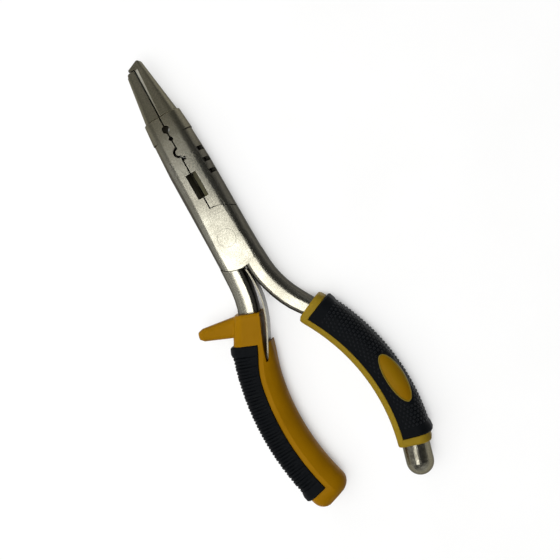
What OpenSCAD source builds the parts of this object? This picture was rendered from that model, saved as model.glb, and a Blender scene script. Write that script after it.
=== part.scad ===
// Long-nose fishing pliers: two lap-jointed steel levers on one rivet, a leaf spring
// between the handles, and a two-shot grip on each handle.
// Frame: the pivot axis is Z, +Y runs along the nose, +X is to the right with the nose up,
// and Z = 0 is the back face of the lap joint. The jaws are closed.

/* [Jaws] */
// Distance from the pivot to the tip of the longer jaw
jaw_len = 80.5; // [74:0.5:92]
// Width of the closed nose at its tip
tip_w = 7.4; // [5.5:0.1:8]
// Thickness of the nose at its tip
tip_t = 4.4; // [3.4:0.1:6]
// Distance from the pivot to the front edge of the raised collar
collar_y = 56; // [53:0.5:60]
// Length of the raised collar
collar_len = 9.4; // [8:0.2:10]
// Width of the closed nose just in front of the collar
nose_w = 14.3; // [12.5:0.1:15]
// Thickness of the nose just in front of the collar
nose_t = 8.4; // [7:0.1:9.4]
// Height of the collar above the nose
collar_step = 0.9; // [0.5:0.1:1.4]
// Height of the collar above the sides behind it
collar_lip = 0.3; // [0.2:0.1:0.8]
// Greatest width of the jaws, at the cutter
body_w = 18.6; // [16.5:0.1:20]
// Radius of the rounded edges of the jaws, from the collar to the cutter
jaw_edge_r = 4.6; // [2.6:0.1:4.7]
// Radius of the rounded edges of the nose, in front of the collar
nose_edge_r = 3.2; // [2:0.1:3.6]
// Gap between the closed jaws
seam_gap = 0.55; // [0.3:0.05:0.8]
// Width of the ground bevel along the inner edge of the right jaw, at the tip
bevel_w = 1.2; // [0.5:0.1:1.6]
// Reach of the split-ring tooth across the end of the left jaw
tooth_reach = 2.3; // [1.4:0.1:2.8]
// Length of the split-ring tooth along the nose
tooth_len = 3.2; // [2.4:0.1:4]
// Slope of the end of the nose, measured along the nose
tip_slant = 2; // [1:0.1:2.3]

/* [Crimps and cutter] */
// Distance from the pivot to the large crimp hole
crimp_y = 50; // [49:0.5:51]
// Diameter of the large crimp hole
crimp_d = 3.2; // [2.4:0.1:3.6]
// Distance from the pivot to the small crimp hole
pin_crimp_y = 45.7; // [45.2:0.1:46.2]
// Diameter of the small crimp hole
pin_crimp_d = 1.8; // [1.2:0.1:2.2]
// Distance from the pivot to the indent crimp
indent_y = 39.5; // [38.5:0.1:40.5]
// Diameter of the hollow of the indent crimp, in the left jaw
indent_d = 4.6; // [4:0.1:5]
// Gap between the bump of the indent crimp and its hollow
indent_gap = 1; // [0.35:0.05:1.2]
// Side of the square notch behind the indent crimp
relief_w = 1.6; // [0.8:0.1:1.8]
// Distance from the pivot to the back end of the cutter recess
cutter_y = 18.8; // [17.5:0.1:20]
// Length of the cutter recess
cutter_len = 11; // [9:0.2:13]
// Width of the cutter recess at the face
cutter_w = 4.7; // [3.6:0.1:6]
// Depth of the cutter recess
cutter_depth = 2.3; // [1.8:0.1:4.4]
// Distance from the pivot to the last of the side notches
notch_y = 26.8; // [24:0.1:28]
// Spacing of the side notches
notch_pitch = 5.15; // [4:0.05:5.4]
// Width of a side notch
notch_w = 1.9; // [1.2:0.1:2.6]
// Depth of a side notch
notch_depth = 2.3; // [1.2:0.1:3]

/* [Joint] */
// Width of the joint
joint_w = 18.5; // [16.5:0.1:19]
// Thickness of the joint, both laps together
joint_t = 10.5; // [9.5:0.1:12]
// Radius of the rounded edges of the joint
joint_edge_r = 3.6; // [2.4:0.1:4]
// Radius of the round laps
lap_r = 13.5; // [12.5:0.1:14.5]
// Clearance round the edge of a lap
lap_gap = 0.3; // [0.2:0.05:0.5]
// Clearance between the faces of the laps
lap_play = 0.1; // [0.06:0.02:0.2]
// Diameter of the rivet's shank
rivet_d = 6; // [4.5:0.1:7]
// Diameter of the rivet's flush heads
rivet_head_d = 7.6; // [7.2:0.1:9]
// Depth of the rivet's countersunk heads
rivet_head_t = 1.4; // [1:0.1:2]
// Radial clearance of the rivet in the lap that turns
rivet_play = 0.05; // [0.02:0.01:0.1]

/* [Handles] */
// Distance of each handle from the pivot axis, at the pivot
handle_off = 4.7; // [4.6:0.1:5.2]
// Width of a handle bar
bar_w = 8.8; // [8:0.1:9]
// Width of a handle bar inside its grip
tang_w = 7.6; // [6.8:0.1:8]
// Thickness of a handle bar inside its grip
tang_t = 8.6; // [7:0.1:9.4]
// Radius of the rounded outer edges of a handle bar, behind the joint
bar_edge_r = 2.7; // [1.6:0.1:3]
// Radius of the rounded inner edges of a handle bar
inner_edge_r = 2.1; // [1.6:0.1:3]
// Width of the rounded outer edge of the left handle bar
left_edge_w = 5; // [3:0.1:5.2]
// Width of the rounded outer edge of the right handle bar
right_edge_w = 3.7; // [3:0.1:5.2]
// Length of the left handle's straight neck
left_neck = 18; // [16:0.5:19]
// Length of the right handle's straight neck
right_neck = 14.3; // [13:0.1:15]
// Outward lean of the necks, in degrees
neck_angle = 2.5; // [2:0.5:4]
// Radius of the outward bends behind the necks
flare_r = 45; // [40:1:50]
// Outward lean of the left handle after its bend, in degrees
left_flare_angle = 25.3; // [23:0.1:27]
// Outward lean of the right handle after its bend, in degrees
right_flare_angle = 35; // [32:0.5:37]
// Radius of the left handle's bow
left_bow_r = 104; // [96:1:116]
// Radius of the right handle's bow
right_bow_r = 85.6; // [80:0.2:94]
// Diameter of the bare steel end of the right handle
end_d = 11.4; // [9.8:0.1:12]
// Length of the bare steel end, dome and all
end_len = 14; // [10:0.5:17]

/* [Leaf spring] */
// Thickness of the spring strip
spring_t = 0.6; // [0.5:0.05:1.2]
// Width of the spring strip
spring_w = 7.4; // [5:0.1:8]
// Length of the strip's foot against the left handle
foot_len = 12; // [10:0.5:14]
// Path length from the pivot to the top of the foot
foot_s = 56.5; // [55:0.5:58]
// Path length along the right handle to the free end
free_s = 14.6; // [14.4:0.1:16]
// Gap between the free end and the right handle
free_gap = 0.4; // [0.3:0.05:0.55]
// Angle between the free end and the neck beside it, in degrees
free_angle = 4; // [2:0.5:5]
// Angle between the foot and the blade, in degrees
knee_angle = 14.5; // [12:0.5:17]
// Clearance round the strip in the grip's slot
slot_play = 0.5; // [0.3:0.05:0.7]
// Diameter of the spring rivet's shank
pin_d = 2.4; // [1.8:0.1:3]
// Diameter of the spring rivet's head
pin_head_d = 4.2; // [3.6:0.1:5]
// Height of the spring rivet's head
pin_head_t = 0.9; // [0.6:0.1:1.1]
// Depth of the spring rivet in the handle
pin_depth = 4.5; // [3:0.1:5.5]

/* [Grips] */
// Thickness of the grip cores
core_t = 15; // [13.5:0.1:17]
// Thickness of the soft overlays
overlay_t = 1.6; // [1.2:0.1:2.2]
// Height of the overlays above the cores
overlay_proud = 0.6; // [0.3:0.1:1]
// Height of the lips at the ends of the overlays
lip_h = 0.8; // [0.4:0.1:1.2]
// Length of the lips along the handle
lip_len = 2.4; // [1.6:0.1:3]
// Radius of the outer edges of the grip cores
grip_edge_r = 4.6; // [3.4:0.1:5.4]
// Clearance between a core and what it holds
fit_gap = 0.06; // [0.03:0.01:0.12]
// Path length to the start of the left grip
left_start = 31.4; // [30:0.2:33]
// Path length to the start of the left overlay
left_cover = 44.2; // [43:0.2:45.4]
// Path length to the end of the left overlay
left_cover_end = 111.2; // [108:0.2:113]
// Path length to the end of the left grip
left_end = 118; // [116.4:0.2:122]
// Path length to the end of the steel inside the left grip
left_tang_end = 100; // [90:1:106]
// Path length to the step behind the left grip's head
head_end = 52; // [50:0.5:53]
// Path length to the top of the wall behind the spring's blade
wall_s = 43.6; // [43.2:0.2:47]
// Reach of the left grip's head towards the right handle
head_wall = 5.2; // [5:0.1:5.6]
// Reach of the left core towards the right handle
left_in = 8.7; // [8.2:0.1:9.2]
// Reach of the left core away from the right handle
left_out = 8.1; // [7.4:0.1:8.6]
// Path length to the start of the right grip
right_start = 42.4; // [41:0.2:44]
// Path length to the start of the right overlay
right_cover = 45.6; // [44.8:0.2:47]
// Path length to the end of the right overlay
right_cover_end = 111.4; // [107:0.2:112.4]
// Path length to the end of the right grip
right_end = 114.8; // [114:0.2:118]
// Reach of the right core towards the left handle
right_in = 6.7; // [6.4:0.1:7.4]
// Reach of the right core away from the left handle
right_out = 7; // [6.6:0.1:7.6]
// Turn of the right grip's mouth from square, in degrees
mouth_angle = 8; // [4:1:10]
// Length of the oval badge
badge_len = 22; // [18:0.2:26]
// Width of the oval badge
badge_w = 7.3; // [6:0.1:7.4]
// Path length to the middle of the badge
badge_s = 86.8; // [82:0.2:94]
// Distance of the badge outwards from the middle of the handle
badge_n = 3.6; // [2:0.1:3.7]

/* [Finger guard] */
// Path length to the root of the horn
horn_s = 35.9; // [35.4:0.1:37]
// Distance from the handle's middle to the tip of the horn
horn_reach = 22.2; // [17:0.2:25]
// Width of the horn at its root
horn_root_w = 10; // [7:0.1:10.4]
// Width of the horn at its tip
horn_tip_w = 4.9; // [3.4:0.1:5.6]
// Thickness of the horn at its root
horn_root_t = 9.5; // [7:0.1:11]
// Thickness of the horn at its tip
horn_tip_t = 5.6; // [4:0.1:7]
// Droop of the horn towards the grip's end, in degrees
horn_angle = 11; // [7:1:14]

/* [Hidden] */
$fn = 64;
steel = "#b9b7a6";
yellow = "#c58f16";
black = "#17191c";

// Points on a corner arc, rings on a bend, and overlap where pieces of one solid join
corner_steps = 5;
ring_step = 4;
join = 0.4;
far = 60;

joint_h = joint_t / 2;
nose_h = nose_t / 2;
tip_h = tip_t / 2;
collar_back = collar_y - collar_len;
step_run = 0.5;
collar_taper = 1;
collar_back_w = body_w - collar_taper;
waist_at = 0.5;
waist_fill = 0.85;
lap_flare = 0.3;
left_tip_y = jaw_len - tooth_len;
tooth_gap = 0.35;
bevel_run_out = 0.3;
tip_edge_r = 1.6;
tip_round = 1.2;
lap_back = -lap_r - join;
notch_count = 3;

// Where a handle bar starts inside the joint, thins in thickness and then in width, by path length
bar_from = -lap_r / 2;
edge_step = 0.2;
thin_from = 8;
thin_len = 22;
tang_from = 34;
tang_run = 14;
bar_tail = end_d / 3;

core_h = core_t / 2;
cover_h = core_h + overlay_proud;
inset = overlay_t - overlay_proud;
wall_slope = 0.25;
step_s = 0.06;
rim_round = 0.9;
head_step = 1;
mouth_in = 1.5;
mouth_len = 2.8;
end_round = 5.2;
cap_step = 15;
head_ridge = 1.6;
head_dome = 2.4;
ridge_len = 30;
ridge_from = 115;
left_ridge = 5.6;
left_dome = 6.4;
right_ridge = 2.2;
right_dome = 2.4;
left_rim = 2;
right_rim = 0.5;
head_in = 2;
head_out = 1.9;
swell_len = 18;
skew_len = 24;
badge_drop = 4.2;
oval_step = 10;

// Each ring of the horn: its place along the reach, and how far it is drawn in
horn_rings = [[0, 0], [0.35, 0], [0.92, 0], [1, 0.8]];

slot_h = spring_w / 2 + slot_play;
foot_n = tang_w / 2 + fit_gap + spring_t / 2;
pin_s = foot_s + foot_len / 2;
blade_pull = 17.3;
free_pull = 17.4;
blade_steps = 18;

end_face = right_end + fit_gap;
end_h = end_len - end_d / 2;
dome_inset = 0.05;
min_flat = 0.05;
min_r = 0.4;

LEFT = -1;
RIGHT = 1;
FRONT = 1;
BACK = -1;

// Small helpers

function ease(u) = let (t = min(1, max(0, u))) t * t * (3 - 2 * t);
function mix(a, b, u) = a + (b - a) * u;
function steps(from, to, step) =
    let (count = max(1, ceil((to - from) / step)))
    [for (i = [0:count]) from + (to - from) * i / count];
function reversed(list) = [for (i = [len(list) - 1:-1:0]) list[i]];
function arc(centre, radius_a, radius_b, from, to) =
    [for (i = [0:corner_steps])
        let (angle = from + (to - from) * i / corner_steps)
        [centre[0] + radius_a * cos(angle), centre[1] + radius_b * sin(angle)]];

// Outline of a rectangle with round corners, by its half sizes
function round_rect(half_w, half_t, radius) =
    let (r = min(radius, half_w - min_flat, half_t - min_flat), w = half_w - r, t = half_t - r)
    concat(arc([w, t], r, r, 0, 90), arc([-w, t], r, r, 90, 180),
           arc([-w, -t], r, r, 180, 270), arc([w, -t], r, r, 270, 360));

// A solid through rings of points that turn counter-clockwise about the way they run
module loft(rings) {
    count = len(rings[0]);
    last = len(rings) - 1;
    sides = [for (i = [0:last - 1], j = [0:count - 1])
        let (a = i * count + j, b = i * count + (j + 1) % count, up = count)
        each [[a, a + up, b + up], [a, b + up, b]]];
    start = [[for (j = [0:count - 1]) j]];
    finish = [[for (j = [count - 1:-1:0]) last * count + j]];
    polyhedron([for (ring = rings) each ring], concat(start, sides, finish));
}

// The handles' paths: a neck, an outward bend and an inward bow, by path length from the pivot

function neck(side) = side == LEFT ? left_neck : right_neck;
function flare(side) = side == LEFT ? left_flare_angle : right_flare_angle;
function bow_r(side) = side == LEFT ? left_bow_r : right_bow_r;
function path_end(side) = side == LEFT ? left_end : right_end;
function flare_end(side) = neck(side) + flare_r * (flare(side) - neck_angle) * PI / 180;

function lean(side, s) =
    let (bent = min(max(s, neck(side)), flare_end(side)) - neck(side),
         bowed = min(max(s, flare_end(side)), path_end(side)) - flare_end(side))
    neck_angle + (bent / flare_r - bowed / bow_r(side)) * 180 / PI;

function path(side, s) =
    let (straight = min(s, neck(side)), tail = max(s - path_end(side), 0),
         a = lean(side, s), in_bow = s > flare_end(side), bend = in_bow ? flare(side) : a,
         r = in_bow ? bow_r(side) : 0,
         x = handle_off + straight * sin(neck_angle) + flare_r * (cos(neck_angle) - cos(bend))
             + r * (cos(a) - cos(bend)) + tail * sin(a),
         y = -straight * cos(neck_angle) - flare_r * (sin(bend) - sin(neck_angle))
             - r * (sin(bend) - sin(a)) - tail * cos(a))
    [side * x, y];

// A point beside the path: n outwards, z up, in a plane that is turned from square by skew
function beside(side, s, n, z = 0, skew = 0) =
    let (p = path(side, s), a = lean(side, s) - skew)
    [p[0] + side * n * cos(a), p[1] + n * sin(a), z];
function beside_xy(side, s, n) = let (p = beside(side, s, n)) [p[0], p[1]];

function ring(side, s, outline, skew = 0) =
    let (points = [for (q = outline) beside(side, s, q[0], q[1], skew)])
    side == LEFT ? reversed(points) : points;

// Steel levers

// Half width, half thickness and edge radius of the closed jaws, from the tip to the joint
function jaw_sections() = [
    [jaw_len, tip_w / 2, tip_h, tip_edge_r],
    [collar_y, nose_w / 2, nose_h, nose_edge_r],
    [collar_y - step_run, nose_w / 2 + collar_step, nose_h + collar_step, jaw_edge_r],
    [collar_back, collar_back_w / 2, joint_h, jaw_edge_r],
    [collar_back - step_run, collar_back_w / 2 - collar_lip, joint_h, jaw_edge_r],
    [mix(collar_back, cutter_y, waist_at),
        mix(collar_back_w / 2 - collar_lip, body_w / 2, waist_fill), joint_h, jaw_edge_r],
    [cutter_y, body_w / 2, joint_h, jaw_edge_r],
    [0, joint_w / 2, joint_h, joint_edge_r],
    [lap_back, joint_w / 2 + lap_flare, joint_h, joint_edge_r]];

module closed_jaws() {
    loft([for (c = jaw_sections())
        [for (q = round_rect(c[1], c[2], c[3])) [q[0], c[0], q[1]]]]);
}

// A slab in the front or the back half of the joint's thickness
module layer(which) {
    translate([0, 0, which == FRONT ? lap_play / 2 : -far])
        linear_extrude(far - lap_play / 2)
            children();
}

// All of the thickness that a lever leaves free for the other one's lap
module pocket(own) {
    translate([0, 0, own == FRONT ? -far : -lap_play / 2])
        linear_extrude(far + lap_play / 2)
            children();
}

// The plan of one jaw, up to the seam. The right jaw carries the tooth across the left one's end.
module jaw_plan(side) {
    seam = side * seam_gap / 2;
    corner = tip_w / 2 - tip_round;
    if (side == LEFT)
        polygon(concat([[-far, 0], [seam, 0], [seam, left_tip_y]],
                       arc([-corner, left_tip_y - tip_round], tip_round, tip_round, 90, 180),
                       [[-far, left_tip_y - far / 2]]));
    else
        polygon(concat([[seam, 0], [far, 0], [far, jaw_len - far / 2]],
                       arc([corner, jaw_len - tip_round], tip_round, tip_round, 0, 90),
                       [[-tooth_reach, jaw_len - tip_slant], [-tooth_reach, left_tip_y + tooth_gap],
                        [seam, left_tip_y + tooth_gap]]));
}

// Handle bar as thick and nearly as round as the joint, tapering to the tang inside the grip
function bar_half_w(s) = mix(bar_w, tang_w, ease((s - tang_from) / tang_run)) / 2;
function bar_half_t(s) = mix(joint_t, tang_t, ease((s - thin_from) / thin_len)) / 2;
function bar_edge(s) = mix(joint_edge_r - edge_step, bar_edge_r, ease(s / thin_len));
function outer_edge(side, s) =
    mix(side == LEFT ? left_edge_w : right_edge_w, bar_edge_r, ease((s - tang_from) / tang_run));
function bar_outline(side, s, grow) =
    let (w = bar_half_w(s) + grow, t = bar_half_t(s) + grow, r = bar_edge(s), b = inner_edge_r,
         a = min(outer_edge(side, s), 2 * (w - min_flat) - b))
    concat(arc([w - a, t - r], a, r, 0, 90), arc([b - w, t - b], b, b, 90, 180),
           arc([b - w, b - t], b, b, 180, 270), arc([w - a, r - t], a, r, 270, 360));
module handle_bar(side, from, to, grow = 0) {
    loft([for (s = steps(from, to, ring_step))
        ring(side, s, bar_outline(side, s, grow))]);
}

// One lever: its jaw, its lap in its own layer, and the handle on the other side
module lever(jaw, own) {
    handle = jaw == LEFT ? RIGHT : LEFT;
    difference() {
        union() {
            intersection() {
                closed_jaws();
                union() {
                    translate([0, 0, -far])
                        linear_extrude(2 * far)
                            jaw_plan(jaw);
                    layer(own)
                        circle(lap_r);
                }
            }
            handle_bar(handle, bar_from, handle == LEFT ? left_tang_end : right_end + bar_tail);
        }
        pocket(own)
            circle(lap_r + lap_gap);
        crimps(jaw);
        cutter_recess();
    }
}

module crimps(jaw) {
    holes = [[crimp_y, crimp_d], [pin_crimp_y, pin_crimp_d]];
    for (hole = holes)
        translate([0, hole[0], -far])
            cylinder(d = hole[1], h = 2 * far);
    translate([0, indent_y, -far])
        if (jaw == LEFT)
            cylinder(d = indent_d, h = 2 * far);
        else
            translate([-join, -indent_d / 2 - relief_w, 0])
                cube([relief_w + join, relief_w, 2 * far]);
}

// V-shaped recess that leaves the cutting edges at its bottom
module cutter_recess() {
    floor_w = seam_gap + 2 * min_flat;
    translate([0, cutter_y + cutter_len, 0])
        rotate([90, 0, 0])
            linear_extrude(cutter_len)
                polygon([[-cutter_w / 2, joint_h], [-cutter_w / 2, far], [cutter_w / 2, far],
                         [cutter_w / 2, joint_h], [floor_w / 2, joint_h - cutter_depth],
                         [-floor_w / 2, joint_h - cutter_depth]]);
}

module rivet_hole(play) {
    translate([0, 0, -joint_h])
        cylinder(d = rivet_d + 2 * play, h = joint_t);
    for (end = [FRONT, BACK])
        at_face(end)
            cylinder(d1 = rivet_head_d + 2 * play, d2 = rivet_d + 2 * play, h = rivet_head_t);
}

// Puts a shape that stands on Z = 0 onto the front or the back face of the joint, pointing in
module at_face(end) {
    translate([0, 0, end * joint_h])
        rotate([end == FRONT ? 180 : 0, 0, 0])
            children();
}

// The bullet-shaped bare end of the right handle
module steel_end() {
    start = path(RIGHT, end_face);
    translate([start[0], start[1], 0])
        rotate([90, 0, lean(RIGHT, right_end)]) {
            cylinder(d = end_d, h = end_h);
            translate([0, 0, end_h])
                sphere(d = end_d - 2 * dome_inset);
        }
}

module front_lever() {
    color(steel)
        lift() {
            difference() {
                lever(LEFT, FRONT);
                rivet_hole(rivet_play);
            }
            steel_end();
        }
}

// Ground bevel along the inner edge of the right jaw, which widens from the collar to the tooth
module seam_bevel() {
    tip_share = (jaw_len - left_tip_y) / (jaw_len - collar_y);
    ends = [[left_tip_y, mix(tip_h, nose_h, tip_share), bevel_w],
            [collar_y, nose_h, bevel_w * bevel_run_out]];
    loft([for (e = ends)
        let (depth = e[2] / 2, edge = seam_gap / 2 + e[2])
        [[-join, e[0], e[1] - depth], [seam_gap / 2, e[0], e[1] - depth],
         [edge, e[0], e[1]], [edge, e[0], e[1] + join], [-join, e[0], e[1] + join]]]);
}

module side_notches() {
    for (i = [0:notch_count - 1])
        translate([body_w / 2 - notch_depth, notch_y + i * notch_pitch - notch_w / 2, 0])
            cube([far, notch_w, far]);
}

module indent_bump() {
    intersection() {
        closed_jaws();
        translate([0, indent_y, -far])
            cylinder(d = indent_d - 2 * indent_gap, h = 2 * far);
    }
}

module spring_pin_axis(n) {
    foot = beside(LEFT, pin_s, n);
    translate(foot)
        rotate([0, 90, 180 - lean(LEFT, pin_s)])
            children();
}

module rear_lever() {
    color(steel)
        lift()
            difference() {
                union() {
                    lever(RIGHT, BACK);
                    indent_bump();
                }
                rivet_hole(fit_gap / 2);
                seam_bevel();
                side_notches();
                spring_pin_axis(-tang_w / 2 - join)
                    cylinder(d = pin_d + fit_gap, h = pin_depth + join);
            }
}

module pivot_rivet() {
    color(steel)
        lift() {
            translate([0, 0, -joint_h])
                cylinder(d = rivet_d, h = joint_t);
            for (end = [FRONT, BACK])
                at_face(end)
                    cylinder(d1 = rivet_head_d, d2 = rivet_d, h = rivet_head_t);
        }
}

// Leaf spring: a foot along the left handle, a knee_angle, and a blade to the right handle's neck

function free_end() = beside_xy(RIGHT, free_s, -bar_w / 2 - free_gap - spring_t / 2);
function heading(angle) = [sin(angle), cos(angle)];
function blade(t) =
    let (a = beside_xy(LEFT, foot_s, -foot_n), d = free_end(),
         b = a + blade_pull * heading(lean(LEFT, foot_s) + knee_angle),
         c = d - free_pull * heading(-neck_angle - free_angle))
    pow(1 - t, 3) * a + 3 * t * pow(1 - t, 2) * b + 3 * t * t * (1 - t) * c + pow(t, 3) * d;
function blade_root() = [for (i = [0:blade_steps / 2]) blade(i / blade_steps)];
function strip_line() = concat(
    [for (s = reversed(steps(foot_s, foot_s + foot_len, ring_step))) beside_xy(LEFT, s, -foot_n)],
    [for (i = [1:blade_steps]) blade(i / blade_steps)]);

// Points of a line moved sideways by a distance, square to the line
function shifted(line, by) =
    [for (i = [0:len(line) - 1])
        let (before = line[max(i - 1, 0)], after = line[min(i + 1, len(line) - 1)],
             along = (after - before) / norm(after - before))
        line[i] + by * [along[1], -along[0]]];

module strip(line, thick, height) {
    translate([0, 0, -height / 2])
        linear_extrude(height)
            polygon(concat(shifted(line, thick / 2), reversed(shifted(line, -thick / 2))));
}

module leaf_spring() {
    color(steel)
        lift()
            difference() {
                strip(strip_line(), spring_t, spring_w);
                spring_pin_axis(-foot_n - spring_t)
                    cylinder(d = pin_d + fit_gap, h = 2 * spring_t);
            }
}

module spring_rivet() {
    head_n = foot_n + spring_t / 2 + fit_gap;
    color(steel)
        lift() {
            spring_pin_axis(-head_n - pin_head_t)
                cylinder(d1 = pin_head_d - pin_head_t, d2 = pin_head_d, h = pin_head_t);
            spring_pin_axis(-head_n - pin_head_t / 2)
                cylinder(d = pin_d, h = head_n + pin_head_t / 2 - tang_w / 2 + pin_depth - fit_gap);
        }
}

// Grips

// Half outline sizes at a point along a grip: reach in and out, then the inner edge's two radii
function left_reach(s) =
    let (swell = ease((s - left_start) / swell_len))
    [left_in - head_in * (1 - swell), left_out - head_out * (1 - swell)];
// The inner corner of the right grip's mouth is rounded
function right_reach(s) =
    let (near = max(1 - (s - right_start) / mouth_len, 0))
    [right_in - mouth_in * (1 - sqrt(1 - near * near)), right_out];
function reach(side, s) = side == LEFT ? left_reach(s) : right_reach(s);
function left_ridge_at(s) =
    let (grown = ease((s - left_start) / ridge_len))
    [mix(head_ridge, left_ridge, grown), mix(head_dome, left_dome, grown)];
function ridge(side, s) = side == LEFT ? left_ridge_at(s) : [right_ridge, right_dome];
function rim(side) = side == LEFT ? left_rim : right_rim;
function cover(side) = side == LEFT ? [left_cover, left_cover_end] : [right_cover, right_cover_end];
function skew(side, s) =
    side == LEFT ? 0 : mouth_angle * (1 - ease((s - right_start) / skew_len));

// Where the overlay's edge lies on the front and back faces
function cover_edge(side, s) = -reach(side, s)[0] + ridge(side, s)[0] + rim(side);

// Core outline: the outer part is sunk by depth under the overlay, and all of it by shrink.
// The inner side is part of an ellipse that meets the front and back faces in a crease.
function core_outline(side, s, depth, shrink = 0) =
    let (size = reach(side, s), in = size[0] - shrink, out = size[1] - shrink,
         h = core_h - shrink, edge = cover_edge(side, s), r = grip_edge_r,
         a = max(ridge(side, s)[0] - shrink / 2, min_r), b = max(ridge(side, s)[1] - shrink, min_r),
         ra = a / (1 + cos(ridge_from)), rb = b / sin(ridge_from),
         outer = max(r - depth - shrink, min_r), sink = r - outer - shrink,
         oc = [out - outer - sink, h - outer - sink])
    concat(arc(oc, outer, outer, 0, 90),
           [[edge + wall_slope, h - sink], [edge, h]],
           arc([ra - in, h - b], ra, rb, ridge_from, 180),
           arc([ra - in, b - h], ra, rb, 180, 360 - ridge_from),
           [[edge, -h], [edge + wall_slope, sink - h]],
           arc([oc[0], -oc[1]], outer, outer, 270, 360));

// Overlay outline: a C round the outer side of the core
function overlay_outline(side, s, lip, shrink = 0) =
    let (size = reach(side, s), out = size[1], edge = cover_edge(side, s) + wall_slope,
         top = overlay_proud - shrink, r_out = grip_edge_r + top,
         r_in = grip_edge_r - inset + fit_gap, c = [out - grip_edge_r, core_h - grip_edge_r],
         h_in = core_h - inset + fit_gap, h_out = core_h + top)
    concat(arc(c, r_out + lip, r_out, 0, 90),
           [[edge + shrink, h_out], [edge + fit_gap, h_in]],
           reversed(arc(c, r_in, r_in, 0, 90)),
           reversed(arc([c[0], -c[1]], r_in, r_in, 270, 360)),
           [[edge + fit_gap, -h_in], [edge + shrink, -h_out]],
           arc([c[0], -c[1]], r_out + lip, r_out, 270, 360));

// How much the lips raise the overlay at a point along it
function lip_at(side, s) =
    let (c = cover(side), near = min(s - c[0], c[1] - s))
    lip_h * (1 - ease((near - lip_len) / lip_len));

module core_body(side, from, to, blunt) {
    c = cover(side);
    head = [for (s = steps(from + rim_round, c[0] - step_s, head_step))
        ring(side, s, core_outline(side, s, 0), skew(side, s))];
    covered = [for (s = steps(c[0], c[1], ring_step))
        ring(side, s, core_outline(side, s, inset), skew(side, s))];
    tail_from = c[1] + step_s;
    tail = [for (s = [tail_from, to - blunt])
        ring(side, s, core_outline(side, s, 0))];
    cap = [for (angle = [cap_step:cap_step:90 - cap_step])
        ring(side, to - blunt + blunt * sin(angle),
             core_outline(side, to, 0, blunt * (1 - cos(angle))))];
    mouth = [ring(side, from, core_outline(side, from, 0, rim_round / 2), skew(side, from))];
    loft(concat(mouth, head, covered, tail, cap));
}

module overlay_body(side) {
    c = cover(side);
    inner = [for (s = steps(c[0] + overlay_proud, c[1] - overlay_proud, ring_step / 2))
        ring(side, s, overlay_outline(side, s, lip_at(side, s)), skew(side, s))];
    start = [ring(side, c[0] + fit_gap, overlay_outline(side, c[0], lip_h, overlay_proud),
                  skew(side, c[0]))];
    finish = [ring(side, c[1] - fit_gap, overlay_outline(side, c[1], lip_h, overlay_proud))];
    loft(concat(start, inner, finish));
}

// Horn of the finger guard, square to the left handle and drooping towards the grip's end
module horn() {
    from = beside(LEFT, horn_s, 0);
    angle = 180 - lean(LEFT, horn_s) + horn_angle;
    translate(from)
        rotate([0, 0, angle])
            loft([for (c = horn_rings)
                [for (q = round_rect(mix(horn_root_w, horn_tip_w, c[0]) / 2 - c[1],
                                     mix(horn_root_t, horn_tip_t, c[0]) / 2 - c[1], horn_tip_w / 2))
                    [horn_reach * c[0], q[0], q[1]]]]);
}

// Pocket in the left core for the spring's foot, and the slot where the blade comes out
module spring_slot() {
    deep = foot_n + spring_t / 2 + pin_head_t + slot_play;
    top = foot_s - slot_play;
    bottom = foot_s + foot_len + slot_play;
    inside = [for (s = steps(top, bottom, ring_step)) beside_xy(LEFT, s, -tang_w / 2 + join)];
    outside = [for (s = steps(top, bottom, ring_step)) beside_xy(LEFT, s, -deep)];
    translate([0, 0, -slot_h])
        linear_extrude(2 * slot_h)
            polygon(concat(inside, reversed(outside)));
    strip(blade_root(), spring_t + 2 * slot_play, 2 * slot_h);
}

// All that lies beside the left grip's head, between two path lengths
module beside_head(from, to) {
    inside = [for (s = steps(from, to, ring_step)) beside_xy(LEFT, s, -head_wall)];
    outside = [for (s = steps(from, to, ring_step)) beside_xy(LEFT, s, -left_in - ring_step)];
    translate([0, 0, -far])
        linear_extrude(2 * far)
            polygon(concat(inside, reversed(outside)));
}

// Room for the blade along the left grip's head, with a thin wall left behind it above the step
module head_cut() {
    edge = shifted(blade_root(), spring_t / 2 + slot_play);
    last = len(edge) - 1;
    beside_head(left_start - ring_step, wall_s);
    intersection() {
        beside_head(wall_s - join, head_end);
        translate([0, 0, -far])
            linear_extrude(2 * far)
                polygon(concat(edge, [[-far, edge[last][1]], [-far, edge[0][1]]]));
    }
}

module left_grip_core() {
    color(yellow)
        lift()
            difference() {
                union() {
                    core_body(LEFT, left_start, left_end, end_round);
                    horn();
                }
                handle_bar(LEFT, left_start - ring_step, left_tang_end + fit_gap, fit_gap);
                spring_slot();
                head_cut();
            }
}

module right_grip_core() {
    color(yellow)
        lift()
            difference() {
                core_body(RIGHT, right_start, right_end, rim_round);
                handle_bar(RIGHT, right_start - ring_step, right_end + ring_step, fit_gap);
            }
}

module left_grip_overlay() {
    color(black)
        lift()
            overlay_body(LEFT);
}

// Oval prism over the badge's place, from inside the overlay outwards
module badge_oval(grow) {
    points = [for (angle = [0:oval_step:360 - oval_step])
        [(badge_w / 2 + grow) * cos(angle), (badge_len / 2 + grow) * sin(angle)]];
    translate(beside(RIGHT, badge_s, badge_n, cover_h - badge_drop - grow))
        rotate([0, 0, lean(RIGHT, badge_s)])
            linear_extrude(far)
                polygon(points);
}

module right_grip_overlay() {
    color(black)
        lift()
            difference() {
                overlay_body(RIGHT);
                badge_oval(fit_gap);
            }
}

// The badge fills an oval window in the right overlay and follows its surface
module grip_badge() {
    color(yellow)
        lift()
            intersection() {
                overlay_body(RIGHT);
                badge_oval(0);
            }
}

// Moves a piece from the joint's middle plane to the part's frame
module lift() {
    translate([0, 0, joint_h])
        children();
}

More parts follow.
